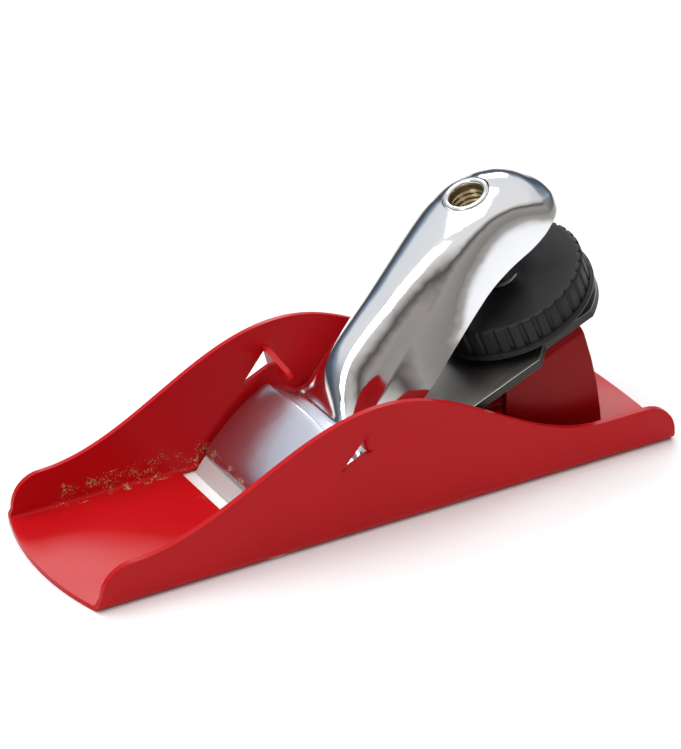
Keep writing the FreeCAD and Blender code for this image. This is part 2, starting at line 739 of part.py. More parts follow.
def make_thumbwheel():
    """Moulded disc with grooves round its rim and a lip below them."""
    body = new_body("thumbwheel", on_bed=True)
    hole = "(screw_radius + fit_gap)"
    lip_top = "wheel_bottom_rise + wheel_lip_height"
    disc = turned(body, "disc", [
        (hole, HUB_BOTTOM),
        ("wheel_hub_radius", HUB_BOTTOM),
        ("wheel_hub_radius", "wheel_bottom_rise"),
        ("wheel_lip_radius", "wheel_bottom_rise"),
        ("wheel_lip_radius", lip_top),
        ("wheel_radius", lip_top),
        ("wheel_radius", "wheel_top_rise - wheel_edge"),
        ("wheel_radius - wheel_edge", "wheel_top_rise"),
        (hole, "wheel_top_rise"),
    ])
    groove = new_sketch(body, "XY_Plane", "groove_circle", lip_top)
    draw_circle(groove, "screw_run + wheel_radius + rib_groove_radius - rib_groove_depth",
                "0", "rib_groove_radius")
    first = pocket(body, "rim_groove", groove, "20", reverse=True)
    pattern = body.newObject("PartDesign::PolarPattern", "rim_grooves")
    pattern.Originals = [first]
    pattern.Axis = (disc.Profile[0], ["Axis0"])
    pattern.Angle = 360
    pattern.setExpression("Occurrences", dims("rib_count"))
    body.Tip = pattern
    doc.recompute()
    return body


# -------------------------------------------------------------- build, write
make_body_shell()
make_frog_bracket()
make_rivets()
make_cutting_iron()
make_lever_cap()
make_threaded_bush()
make_pressure_foot()
make_clamp_screw()
make_thumbwheel()
doc.recompute()

for item in doc.Objects:
    if "Invalid" in item.State or "Error" in item.State:
        raise RuntimeError(f"{item.Name} failed: {item.State}")

os.makedirs("parts", exist_ok=True)
for node in NODES:
    shape = node.Shape
    if shape.isNull() or not shape.isValid():
        raise RuntimeError(f"{node.Label} has no valid shape")
    box = shape.BoundBox
    print(f"{node.Label:16s} solids {len(shape.Solids)} volume {shape.Volume:9.1f}"
          f"  x {box.XMin:7.2f} {box.XMax:7.2f}  y {box.YMin:6.2f} {box.YMax:6.2f}"
          f"  z {box.ZMin:6.2f} {box.ZMax:6.2f}")
    shape.exportStep(f"parts/{node.Label}.step")
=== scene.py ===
# A small pressed-steel block plane, put together piece by piece: the folded
# body, the bracket and rivets that carry the iron, the iron itself, and the
# cast lever cap that a thumbwheel screw tightens down on it.
import math

import bmesh
import bpy
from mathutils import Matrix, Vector


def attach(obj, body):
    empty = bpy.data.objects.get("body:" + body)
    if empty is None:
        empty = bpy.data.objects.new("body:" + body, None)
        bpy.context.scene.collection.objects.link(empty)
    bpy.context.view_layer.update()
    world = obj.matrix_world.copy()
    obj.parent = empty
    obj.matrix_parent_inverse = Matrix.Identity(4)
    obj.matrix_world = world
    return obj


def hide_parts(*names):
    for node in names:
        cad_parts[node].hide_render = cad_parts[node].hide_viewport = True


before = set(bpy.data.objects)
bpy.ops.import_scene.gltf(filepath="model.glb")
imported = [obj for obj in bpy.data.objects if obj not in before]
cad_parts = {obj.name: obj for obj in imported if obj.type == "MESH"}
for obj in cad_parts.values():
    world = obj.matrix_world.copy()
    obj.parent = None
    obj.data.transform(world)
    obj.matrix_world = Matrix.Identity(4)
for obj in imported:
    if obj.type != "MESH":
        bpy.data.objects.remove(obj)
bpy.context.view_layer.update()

# ------------------------------------------------------------- pressed body
# One sheet of steel, blanked flat, then folded up into two leaning walls
# round the sole.  A lug is pushed inward out of a window in each wall, and
# the whole is dipped in glossy red enamel.
MM = 0.001
SHEET = 1.2
SHEET_MIDDLE = SHEET / 2
WALL_LEAN = math.radians(3.1)
FOLD_RADIUS = 1.6
SOLE_FLAT = 18.916
FOLD_TURN = math.pi / 2 - WALL_LEAN
FOLD_ARC = FOLD_RADIUS * FOLD_TURN
TOE_END = -72.6
HEEL_END = 72.6
SOLE_HALF = 21.0
TOE_BULGE = 3.4
HEEL_BULGE = 1.0
LOW_WALL = 10.2
HUMP = 30.6
HUMP_PEAK = -3.2
HUMP_RISE = 59.0
HUMP_FALL = 56.0
TOE_CORNER = 7.0
HEEL_CORNER = 8.0
CORNER_STEPS = 8
HUMP_STEPS = 60
TOE_SET_BACK = 0.5
MOUTH_FRONT = -29.3
MOUTH_BACK = -22.83
MOUTH_HALF = 19.35
MOUTH_CORNER = 0.4
RIVET_ALONG = (36.1, 49.3)
RIVET_ACROSS = (-10.95, 10.95)
RIVET_HOLE = 1.5
RIVET_HOLE_SIDES = 20
LUG_LOW = (-4.98, 20.55)
LUG_HIGH = (-6.2, 25.5)
WINDOW_TIP = (-13.3, 16.9)
LUG_REACH = 10.4
LUG_TIP = 1.8
LUG_DROP = 1.55
LUG_BEND = 1.1
LUG_ROWS = (0.12, 0.25, 0.4, 0.55, 0.7, 0.82, 0.9, 0.95, 0.985, 1.0)


def make_piece(name, places, faces, sharp_from=35.0):
    """Mesh piece from places in millimetres, smooth but for its sharp edges."""
    mesh = bpy.data.meshes.new(name)
    mesh.from_pydata([Vector(place) * MM for place in places], [], faces)
    piece = bpy.data.objects.new(name, mesh)
    bpy.context.scene.collection.objects.link(piece)
    tidy_mesh(mesh, sharp_from)
    return piece


def tidy_mesh(mesh, sharp_from):
    """Turn the faces outward and set which edges stay sharp."""
    work = bmesh.new()
    work.from_mesh(mesh)
    bmesh.ops.remove_doubles(work, verts=work.verts, dist=1e-6)
    bmesh.ops.recalc_face_normals(work, faces=work.faces)
    work.to_mesh(mesh)
    work.free()
    mesh.shade_smooth()
    mesh.set_sharp_from_angle(angle=math.radians(sharp_from))


def thicken(piece, gauge, offset=0.0):
    """Give a sheet its gauge."""
    sheet = piece.modifiers.new("gauge", "SOLIDIFY")
    sheet.thickness = gauge * MM
    sheet.offset = offset
    sheet.use_even_offset = True


def ease_edges(piece, width, segments=2, angle=40.0):
    """Round a piece's edges a little, as paint, tumbling or a mould does."""
    easing = piece.modifiers.new("eased_edges", "BEVEL")
    easing.width = width * MM
    easing.segments = segments
    easing.limit_method = "ANGLE"
    easing.angle_limit = math.radians(angle)
    easing.harden_normals = True


def across_blank(height):
    """How far out on the flat blank a wall place at that height lies."""
    arc_top = SHEET_MIDDLE + FOLD_RADIUS * (1 - math.cos(FOLD_TURN))
    return SOLE_FLAT + FOLD_ARC + (height - arc_top) / math.cos(WALL_LEAN)


def folded(along, across):
    """Where a place on the flat blank lies once the walls are folded up."""
    side = 1 if across >= 0 else -1
    out = abs(across)
    turn = min(max((out - SOLE_FLAT) / FOLD_RADIUS, 0), FOLD_TURN)
    climb = max(out - SOLE_FLAT - FOLD_ARC, 0)
    y = min(out, SOLE_FLAT) + FOLD_RADIUS * math.sin(turn) + climb * math.sin(WALL_LEAN)
    z = SHEET_MIDDLE + FOLD_RADIUS * (1 - math.cos(turn)) + climb * math.cos(WALL_LEAN)
    return Vector((along, side * y, z))


def end_curve(across, bulge):
    """How far the curved end of the sole has drawn back at that place."""
    radius = (SOLE_HALF ** 2 + bulge ** 2) / (2 * bulge)
    out = min(abs(folded(0, across).y), SOLE_HALF)
    return radius - math.sqrt(radius ** 2 - out ** 2)


def wall_edge():
    """Top edge of a wall from toe to heel, as (along, height) places."""
    places = []
    toe = TOE_END + TOE_BULGE + TOE_SET_BACK
    rise = HUMP - LOW_WALL
    for step in range(CORNER_STEPS + 1):
        turn = math.pi / 2 * step / CORNER_STEPS
        places.append((toe + TOE_CORNER * (1 - math.cos(turn)),
                       LOW_WALL - TOE_CORNER + TOE_CORNER * math.sin(turn)))
    for step in range(1, HUMP_STEPS + 1):
        share = step / HUMP_STEPS
        along = HUMP_PEAK - HUMP_RISE * (1 - share)
        places.append((along, LOW_WALL + rise * (1 - math.cos(math.pi * share)) / 2))
    for step in range(1, HUMP_STEPS + 1):
        share = step / HUMP_STEPS
        along = HUMP_PEAK + HUMP_FALL * share
        places.append((along, LOW_WALL + rise * (1 + math.cos(math.pi * share)) / 2))
    heel = HEEL_END - HEEL_BULGE
    for step in range(CORNER_STEPS + 1):
        turn = math.pi / 2 * step / CORNER_STEPS
        places.append((heel - HEEL_CORNER + HEEL_CORNER * math.sin(turn),
                       LOW_WALL - HEEL_CORNER + HEEL_CORNER * math.cos(turn)))
    return places


def rounded_loop(corners, ease, steps=3):
    """A closed outline whose corners are rounded by that much."""
    corners = [Vector(corner) for corner in corners]
    places = []
    for index, corner in enumerate(corners):
        before = corners[index - 1] - corner
        after = corners[(index + 1) % len(corners)] - corner
        start = corner + before.normalized() * ease
        end = corner + after.normalized() * ease
        for step in range(steps + 1):
            share = step / steps
            places.append((1 - share) ** 2 * start + 2 * share * (1 - share) * corner
                          + share ** 2 * end)
    return places


def pressed_blank():
    """The flat blank with its mouth, windows and rivet holes, filled in."""
    work = bmesh.new()

    def loop(places):
        corners = [work.verts.new((x, y, 0)) for x, y in places]
        for index, corner in enumerate(corners):
            work.edges.new((corner, corners[index - 1]))
        return corners

    edge = [(x, across_blank(z)) for x, z in wall_edge()]
    fold_end = SOLE_FLAT + FOLD_ARC
    end_steps = [-fold_end + 2 * fold_end * step / 40 for step in range(41)]
    outline = [(TOE_END + end_curve(step, TOE_BULGE), step) for step in end_steps]
    outline += edge
    outline += [(HEEL_END - end_curve(step, HEEL_BULGE), step) for step in reversed(end_steps)]
    outline += [(x, -y) for x, y in reversed(edge)]
    loop(outline)

    mouth = [(MOUTH_FRONT, -MOUTH_HALF), (MOUTH_BACK, -MOUTH_HALF),
             (MOUTH_BACK, MOUTH_HALF), (MOUTH_FRONT, MOUTH_HALF)]
    loop(rounded_loop(mouth, MOUTH_CORNER))
    turns = [math.tau * step / RIVET_HOLE_SIDES for step in range(RIVET_HOLE_SIDES)]
    for along in RIVET_ALONG:
        for side in RIVET_ACROSS:
            loop([(along + RIVET_HOLE * math.cos(turn), side + RIVET_HOLE * math.sin(turn))
                  for turn in turns])

    lug_roots = []
    for side in (-1, 1):
        low = Vector((LUG_LOW[0], across_blank(LUG_LOW[1])))
        high = Vector((LUG_HIGH[0], across_blank(LUG_HIGH[1])))
        tip = Vector((WINDOW_TIP[0], across_blank(WINDOW_TIP[1])))
        root = [low.lerp(high, step / 4) for step in range(5)]
        pull = (tip - high).normalized()
        back = (tip - low).normalized()
        around = [tip - pull * 0.9, tip - pull * 0.35 - back * 0.05,
                  tip - back * 0.35 - pull * 0.05, tip - back * 0.9]
        corners = loop([(p.x, side * p.y) for p in root + around])
        lug_roots.append((side, corners[:5]))
    bmesh.ops.triangle_fill(work, edges=work.edges[:], use_beauty=True, normal=(0, 0, 1))
    folds = [SOLE_FLAT + FOLD_ARC * step / 6 for step in range(7)]
    for place in folds + [-fold for fold in folds]:
        bmesh.ops.bisect_plane(work, geom=work.verts[:] + work.edges[:] + work.faces[:],
                               dist=1e-5, plane_co=(0, place, 0), plane_no=(0, 1, 0))
    return work, lug_roots


def push_lug(work, side, root):
    """A lug: a strip bent inward off its root, that tapers to a round tip."""
    fold = (root[-1].co - root[0].co).normalized()
    middle = (root[0].co + root[-1].co) / 2
    inward = Vector((0, -side * math.cos(WALL_LEAN), math.sin(WALL_LEAN)))
    forward = fold.cross(inward) * side
    if forward.x > 0:
        forward = -forward
    height = (root[-1].co - root[0].co).length
    rows = []
    for step in range(1, 6):
        turn = math.pi / 2 * step / 5
        rows.append((LUG_BEND * math.sin(turn), LUG_BEND * (1 - math.cos(turn))))
    straight = LUG_REACH - LUG_BEND
    for share in LUG_ROWS:
        rows.append((LUG_BEND, LUG_BEND + straight * share))
    before = root
    for ahead, inside in rows:
        share = max(0.0, (inside - LUG_BEND) / straight)
        width = height + (LUG_TIP - height) * share
        to_tip = (LUG_REACH - inside) / (LUG_TIP / 2)
        if to_tip < 1:
            width = LUG_TIP * math.sqrt(max(1 - (1 - to_tip) ** 2, 0.02))
        centre = middle + forward * ahead + inward * inside - fold * LUG_DROP * share
        row = [work.verts.new(centre + fold * width * (step / 4 - 0.5)) for step in range(5)]
        for step in range(4):
            work.faces.new((before[step], before[step + 1], row[step + 1], row[step]))
        before = row


def make_pressed_body():
    work, lug_roots = pressed_blank()
    for corner in work.verts:
        corner.co = folded(corner.co.x, corner.co.y)
    for side, root in lug_roots:
        push_lug(work, side, root)
    bmesh.ops.dissolve_limit(work, angle_limit=math.radians(0.6), verts=work.verts[:],
                             edges=work.edges[:], use_dissolve_boundaries=False)
    bmesh.ops.scale(work, vec=(MM, MM, MM), verts=work.verts[:])
    bmesh.ops.recalc_face_normals(work, faces=work.faces[:])
    mesh = bpy.data.meshes.new("pressed_body")
    work.to_mesh(mesh)
    work.free()
    piece = bpy.data.objects.new("pressed_body", mesh)
    bpy.context.scene.collection.objects.link(piece)
    mesh.shade_smooth()
    thicken(piece, SHEET)
    ease_edges(piece, 0.26, 3)
    return piece


def wire(tree, kind, sockets=None, **settings):
    """Add a node; each socket takes a value or another node's output."""
    item = tree.nodes.new(kind)
    for key, setting in settings.items():
        setattr(item, key, setting)
    for key, value in (sockets or {}).items():
        if isinstance(value, bpy.types.NodeSocket):
            tree.links.new(value, item.inputs[key])
        else:
            item.inputs[key].default_value = value
    return item


def noise(tree, place, scale, detail):
    return wire(tree, "ShaderNodeTexNoise", {
        "Vector": place, "Scale": scale, "Detail": detail}).outputs["Fac"]


def ranged(tree, value, given, wanted=(0.0, 1.0)):
    """Bring a value from one range to another, held at its ends."""
    return wire(tree, "ShaderNodeMapRange", {
        "Value": value, "From Min": given[0], "From Max": given[1],
        "To Min": wanted[0], "To Max": wanted[1]}).outputs["Result"]


def bumped(tree, height, strength, distance):
    return wire(tree, "ShaderNodeBump", {
        "Height": height, "Strength": strength, "Distance": distance})


def start_group(name, sockets):
    """An empty node group with those (name, kind, in or out, value) sockets."""
    group = bpy.data.node_groups.new(name, "ShaderNodeTree")
    for label, kind, way, value in sockets:
        socket = group.interface.new_socket(label, in_out=way, socket_type=kind)
        if value is not None:
            socket.default_value = value
    return group, group.nodes.new("NodeGroupInput"), group.nodes.new("NodeGroupOutput")


def wood_dust_group():
    """Specks and drifts of wood dust, thick where Lie is high."""
    group, given, result = start_group("wood_dust", (
        ("Place", "NodeSocketVector", "INPUT", None),
        ("Lie", "NodeSocketFloat", "INPUT", 0.0),
        ("Speck", "NodeSocketFloat", "INPUT", 1500.0),
        ("Mask", "NodeSocketFloat", "OUTPUT", None),
        ("Colour", "NodeSocketColor", "OUTPUT", None),
        ("Height", "NodeSocketFloat", "OUTPUT", None)))
    drift = noise(group, given.outputs["Place"], 420.0, 5.0)
    speck = wire(group, "ShaderNodeTexVoronoi", {
        "Vector": given.outputs["Place"], "Scale": given.outputs["Speck"]})
    lone = wire(group, "ShaderNodeMath", {0: speck.outputs["Distance"], 1: -0.55, 2: 0.25},
                operation="MULTIPLY_ADD")
    heap = wire(group, "ShaderNodeMath", {0: drift, 1: lone.outputs[0]}, operation="ADD")
    lying = wire(group, "ShaderNodeMath", {0: heap.outputs[0], 1: given.outputs["Lie"]},
                 operation="ADD")
    mask = ranged(group, lying.outputs[0], (1.0, 1.07))
    tint = noise(group, given.outputs["Place"], 2200.0, 2.0)
    ramp = wire(group, "ShaderNodeValToRGB", {"Fac": tint})
    ramp.color_ramp.elements[0].position = 0.3
    ramp.color_ramp.elements[0].color = (0.20, 0.10, 0.035, 1)
    ramp.color_ramp.elements[1].position = 0.7
    ramp.color_ramp.elements[1].color = (0.60, 0.42, 0.20, 1)
    group.links.new(mask, result.inputs["Mask"])
    group.links.new(ramp.outputs["Color"], result.inputs["Colour"])
    group.links.new(tint, result.inputs["Height"])
    return group


def band(tree, value, low, high, fade):
    """1 between low and high, fading out over fade on both sides."""
    rise = ranged(tree, value, (low - fade, low))
    fall = ranged(tree, value, (high, high + fade), (1.0, 0.0))
    return times(tree, rise, fall)


def times(tree, first, second):
    return wire(tree, "ShaderNodeMath", {0: first, 1: second}, operation="MULTIPLY").outputs[0]


def larger(tree, first, second):
    return wire(tree, "ShaderNodeMath", {0: first, 1: second}, operation="MAXIMUM").outputs[0]


def start_material(name):
    """A material with its Principled shader and place on the object."""
    material = bpy.data.materials.new(name)
    material.use_nodes = True
    tree = material.node_tree
    shader = tree.nodes["Principled BSDF"]
    place = tree.nodes.new("ShaderNodeTexCoord").outputs["Object"]
    return material, tree, shader, place


def place_group(tree, group, sockets):
    return wire(tree, "ShaderNodeGroup", sockets, node_tree=group)


def blend_colour(tree, share, first, second):
    """Mix two colours; a Mix node keeps its colours in sockets 6, 7 and out 2."""
    return wire(tree, "ShaderNodeMix", {0: share, 6: first, 7: second},
                data_type="RGBA").outputs[2]


def blend_value(tree, share, first, second):
    """Mix two numbers; a Mix node keeps its numbers in sockets 2, 3 and out 0."""
    return wire(tree, "ShaderNodeMix", {0: share, 2: first, 3: second}).outputs[0]


wood_dust = wood_dust_group()
MIDDLING = (0.3, 0.7)
ENAMEL_DEEP = (0.43, 0.004, 0.007, 1)
ENAMEL_BRIGHT = (0.52, 0.006, 0.009, 1)


def red_enamel(name, dusty, deep, bright):
    """Dipped gloss paint; where dusty, wood dust lies in the creases."""
    material, tree, shader, place = start_material(name)
    cloud = noise(tree, place, 45.0, 4.0)
    colour = blend_colour(tree, cloud, deep, bright)
    gloss = ranged(tree, cloud, MIDDLING, (0.26, 0.36))
    peel = noise(tree, place, 700.0, 2.0)
    normal = bumped(tree, peel, 0.10, 0.00008).outputs["Normal"]
    if dusty:
        axes = wire(tree, "ShaderNodeSeparateXYZ", {"Vector": place})
        along, across, up = axes.outputs
        crease = times(tree, band(tree, across, 0.0182, 0.0201, 0.0003),
                       band(tree, along, -0.055, 0.006, 0.012))
        crease = times(tree, crease, band(tree, up, 0.0, 0.006, 0.004))
        mouth = times(tree, band(tree, across, -0.019, 0.019, 0.002),
                      band(tree, along, -0.032, -0.0296, 0.002))
        ground = times(tree, band(tree, across, -0.02, 0.02, 0.003),
                       band(tree, along, -0.066, -0.03, 0.01))
        lie = larger(tree, times(tree, crease, 0.42), times(tree, mouth, 0.24))
        lie = larger(tree, lie, times(tree, ground, 0.14))
        lie = times(tree, lie, band(tree, up, 0.0009, 0.02, 0.0002))
        dust = place_group(tree, wood_dust, {"Place": place, "Lie": lie, "Speck": 2300.0})
        colour = blend_colour(tree, dust.outputs["Mask"], colour, dust.outputs["Colour"])
        gloss = blend_value(tree, dust.outputs["Mask"], gloss, 0.85)
        dust_bump = bumped(tree, dust.outputs["Mask"], 0.5, 0.0002)
        tree.links.new(normal, dust_bump.inputs["Normal"])
        normal = dust_bump.outputs["Normal"]
    tree.links.new(colour, shader.inputs["Base Color"])
    tree.links.new(gloss, shader.inputs["Roughness"])
    tree.links.new(normal, shader.inputs["Normal"])
    shader.inputs["Specular IOR Level"].default_value = 0.13
    return material


body_enamel = red_enamel("red_enamel_body", True, ENAMEL_DEEP, ENAMEL_BRIGHT)
pressed_body = make_pressed_body()
pressed_body.data.materials.append(body_enamel)
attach(pressed_body, "sole")
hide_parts("body_shell")

# ------------------------------------------------------------- iron bracket
# A saddle folded from slightly thicker sheet: two cheeks, an inward foot
# along each, and a sloping top that the iron lies on.  Its red is painted
# darker than the body's: painted shade, as it sits in shadow inside the body.
BED_ANGLE = math.radians(22.8)
BED_COS = math.cos(BED_ANGLE)
BED_SIN = math.sin(BED_ANGLE)
BED_SLOPE = math.tan(BED_ANGLE)
BED_FRONT = -25.7
BED_RISE = 0.12
IRON_ROOM = 0.05
BRACKET_SHEET = 1.5
BRACKET_HALF = 15.7
BRACKET_FRONT = 31.1
BRACKET_TOP_LENGTH = 19.1
BRACKET_SPREAD = 6.1
BRACKET_FOLD = 1.5
BRACKET_BULGE = 4.5
FOOT_INNER = 7.7


def bed_line(along):
    """Height of the iron's underside at that place along the sole."""
    return BED_RISE + (along - BED_FRONT) * BED_SLOPE


def bed_place(run, across, rise):
    """From the bed, up the slope from the cutting edge, to the whole plane."""
    return (BED_FRONT + run * BED_COS - rise * BED_SIN, across,
            BED_RISE + run * BED_SIN + rise * BED_COS)


def sheet_faces(rows, columns):
    """The four-sided faces of an open grid of places."""
    return [(row * columns + column, row * columns + column + 1,
             (row + 1) * columns + column + 1, (row + 1) * columns + column)
            for row in range(rows - 1) for column in range(columns - 1)]


def make_iron_bracket():
    """Its section, row by row; each place hangs from the foot, cheek or top."""
    middle = BRACKET_SHEET / 2
    foot_height = SHEET + middle
    cheek = BRACKET_HALF - middle
    under = (IRON_ROOM + middle) / BED_COS
    profile = [(FOOT_INNER, 0.0, 0), (FOOT_INNER + 2.8, 0.0, 0)]
    fold_turns = [math.pi / 2 * step / 6 for step in range(7)]
    for turn in fold_turns:
        profile.append((cheek - BRACKET_FOLD * (1 - math.sin(turn)),
                        BRACKET_FOLD * (1 - math.cos(turn)), 0))
    for share in (0.25, 0.5, 0.75):
        profile.append((cheek, share, 1))
    for turn in fold_turns:
        profile.append((cheek - BRACKET_FOLD * (1 - math.cos(turn)),
                        -BRACKET_FOLD * (1 - math.sin(turn)), 2))
    profile += [(9.0, 0.0, 2), (4.5, 0.0, 2), (0.0, 0.0, 2)]
    profile += [(-y, up, kind) for y, up, kind in reversed(profile[:-1])]
    places = []
    rows = 16
    for step in range(rows + 1):
        share = step / rows
        top_along = BRACKET_FRONT + BRACKET_TOP_LENGTH * share
        top = bed_line(top_along) - under
        for y, up, kind in profile:
            low, high = foot_height + BRACKET_FOLD, top - BRACKET_FOLD
            height = (foot_height + up, low + (high - low) * up, top + up)[kind]
            drop = 1 - (height - foot_height) / (top - foot_height)
            spread = BRACKET_SPREAD * drop + BRACKET_BULGE * drop * (1 - drop)
            places.append((BRACKET_FRONT + (BRACKET_TOP_LENGTH + spread) * share, y, height))
    piece = make_piece("iron_bracket", places, sheet_faces(rows + 1, len(profile)), 60)
    thicken(piece, BRACKET_SHEET)
    ease_edges(piece, 0.25, 2)
    return piece


# The bracket's colours: the body's red darkened, as painted shade.
SHADED_DEEP = (0.22, 0.002, 0.003, 1)
SHADED_BRIGHT = (0.28, 0.003, 0.004, 1)
shaded_bracket_enamel = red_enamel("red_enamel_bracket_painted_shade", False, SHADED_DEEP, SHADED_BRIGHT)
iron_bracket = make_iron_bracket()
iron_bracket.data.materials.append(shaded_bracket_enamel)
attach(iron_bracket, "sole")
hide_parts("frog_bracket")

# ------------------------------------------------------------- sole rivets
# Four steel rivets through the bracket's feet and the sole.  Their domed
# heads sit inside, and their ends are ground off flush underneath.
RIVET_SHANK = 1.48
RIVET_HEAD = 2.6
RIVET_DOME = 0.8
AXIS_RADIUS = 0.02


def ring_faces(rows, sides):
    """The four-sided faces between closed rings of places."""
    faces = []
    for row in range(rows - 1):
        for side in range(sides):
            beside = (side + 1) % sides
            faces.append((row * sides + side, row * sides + beside,
                          (row + 1) * sides + beside, (row + 1) * sides + side))
    return faces


def turned(name, profile, centre, sides=48, on_bed=False, sharp_from=35.0):
    """A piece turned on a lathe, from (radius, height) places up its axis."""
    places = []
    for radius, height in profile:
        for side in range(sides):
            turn = math.tau * side / sides
            local = (centre[0] + radius * math.cos(turn), centre[1] + radius * math.sin(turn),
                     centre[2] + height)
            places.append(bed_place(*local) if on_bed else local)
    faces = ring_faces(len(profile), sides)
    if profile[0] != profile[-1]:
        faces.append(tuple(range(sides)))
        faces.append(tuple((len(profile) - 1) * sides + side for side in range(sides)))
    return make_piece(name, places, faces, sharp_from)


def rivet_profile():
    head_foot = SHEET + BRACKET_SHEET
    profile = [(AXIS_RADIUS, 0.1), (1.25, 0.1), (RIVET_SHANK, 0.3), (RIVET_SHANK, head_foot),
               (RIVET_HEAD - 0.15, head_foot)]
    for step in range(9):
        turn = math.pi / 2 * step / 8
        profile.append((max(RIVET_HEAD * math.cos(turn), AXIS_RADIUS),
                        head_foot + 0.1 + RIVET_DOME * math.sin(turn)))
    return profile


rivet_count = 0
for rivet_along in RIVET_ALONG:
    for rivet_across in RIVET_ACROSS:
        rivet_count += 1
        rivet = turned(f"sole_rivet_{rivet_count}", rivet_profile(),
                       (rivet_along, rivet_across, 0), 32)
        # The rivet heads take the bracket's darker red, which is painted shade.
        rivet.data.materials.append(shaded_bracket_enamel)
        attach(rivet, "sole")
        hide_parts(f"frog_rivet_{rivet_count}")

# ------------------------------------------------------------- cutting iron
# A flat bar of tool steel, ground on top to its edge, narrowed behind two
# shoulders and rounded at the rear.  It slides on the sole and the bracket.
IRON_HALF = 19.05
IRON_GAUGE = 2.0
IRON_TAIL_HALF = 15.5
IRON_TAIL_RADIUS = 18.6
IRON_SHOULDER = 69.0
SCREW_RUN = 75.0
BEVEL_RUN = 3.2


def make_plane_iron():
    notch = IRON_SHOULDER + IRON_HALF - IRON_TAIL_HALF
    tail = math.sqrt(IRON_TAIL_RADIUS ** 2 - IRON_TAIL_HALF ** 2)
    spread = math.atan2(IRON_TAIL_HALF, tail)
    side = [(0.0, IRON_HALF), (IRON_SHOULDER, IRON_HALF), (notch, IRON_TAIL_HALF)]
    arc = [(SCREW_RUN + IRON_TAIL_RADIUS * math.cos(spread - 2 * spread * step / 40),
            IRON_TAIL_RADIUS * math.sin(spread - 2 * spread * step / 40))
           for step in range(41)]
    outline = side + arc + [(run, -half) for run, half in reversed(side)]
    places = []
    for height in (0.0, IRON_GAUGE):
        for run, half in outline:
            start = BEVEL_RUN * height / IRON_GAUGE if run == 0.0 else run
            places.append(bed_place(start, half, height))
    count = len(outline)
    faces = [tuple(range(count)), tuple(range(2 * count - 1, count - 1, -1))]
    for step in range(count):
        after = (step + 1) % count
        faces.append((step, after, count + after, count + step))
    piece = make_piece("plane_iron", places, faces, 30)
    ease_edges(piece, 0.14, 2, 28)
    return piece


def ground_steel_group():
    """Fine parallel grinding lines with slow changes of tone."""
    group, given, result = start_group("ground_lines", (
        ("Place", "NodeSocketVector", "INPUT", None),
        ("Stretch", "NodeSocketVector", "INPUT", (1.0, 1.0, 1.0)),
        ("Lines", "NodeSocketFloat", "OUTPUT", None),
        ("Tone", "NodeSocketFloat", "OUTPUT", None)))
    drawn = wire(group, "ShaderNodeVectorMath", {
        0: given.outputs["Place"], 1: given.outputs["Stretch"]}, operation="MULTIPLY")
    group.links.new(noise(group, drawn.outputs[0], 1.0, 5.0), result.inputs["Lines"])
    group.links.new(noise(group, given.outputs["Place"], 90.0, 3.0), result.inputs["Tone"])
    return group


ground_lines = ground_steel_group()


def satin_steel(name, light, dark, roughness, stretch, iron_painted_light=False):
    """Fine-ground steel; on an iron, painted shade darkens the sideways faces and a painted
    highlight makes the bevel pale.
    """
    material, tree, shader, place = start_material(name)
    grain = place_group(tree, ground_lines, {"Place": place, "Stretch": stretch})
    colour = blend_colour(tree, grain.outputs["Tone"], dark, light)
    rough = ranged(tree, grain.outputs["Lines"], MIDDLING, roughness)
    bump = bumped(tree, grain.outputs["Lines"], 0.12, 0.00005)
    shader.inputs["Metallic"].default_value = 1.0
    if iron_painted_light:
        # Painted shade: faces turned sideways are painted near black.
        facing = wire(tree, "ShaderNodeTexCoord").outputs["Normal"]
        upward = wire(tree, "ShaderNodeSeparateXYZ", {"Vector": facing}).outputs["Z"]
        side_painted_shade = band(tree, upward, -0.2, 0.35, 0.1)
        colour = blend_colour(tree, side_painted_shade, colour, (0.06, 0.057, 0.053, 1))
        rough = blend_value(tree, side_painted_shade, rough, 0.5)
        # Painted highlight: the bevel at the cutting edge is painted pale and made less
        # metallic.
        along = wire(tree, "ShaderNodeSeparateXYZ", {"Vector": place}).outputs["X"]
        edge = band(tree, along, -0.03, -0.0229, 0.0004)
        colour = blend_colour(tree, edge, colour, (0.66, 0.64, 0.63, 1))
        rough = blend_value(tree, edge, rough, 0.55)
        tree.links.new(blend_value(tree, edge, 1.0, 0.35), shader.inputs["Metallic"])
    tree.links.new(colour, shader.inputs["Base Color"])
    tree.links.new(rough, shader.inputs["Roughness"])
    tree.links.new(bump.outputs["Normal"], shader.inputs["Normal"])
    return material


plane_iron = make_plane_iron()
# The last argument turns on the iron's painted shade and painted highlight.
plane_iron.data.materials.append(satin_steel(
    "satin_tool_steel", (0.54, 0.52, 0.49, 1), (0.36, 0.35, 0.33, 1), (0.28, 0.42),
    (300.0, 9000.0, 300.0), True))
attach(plane_iron, "iron")
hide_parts("cutting_iron")

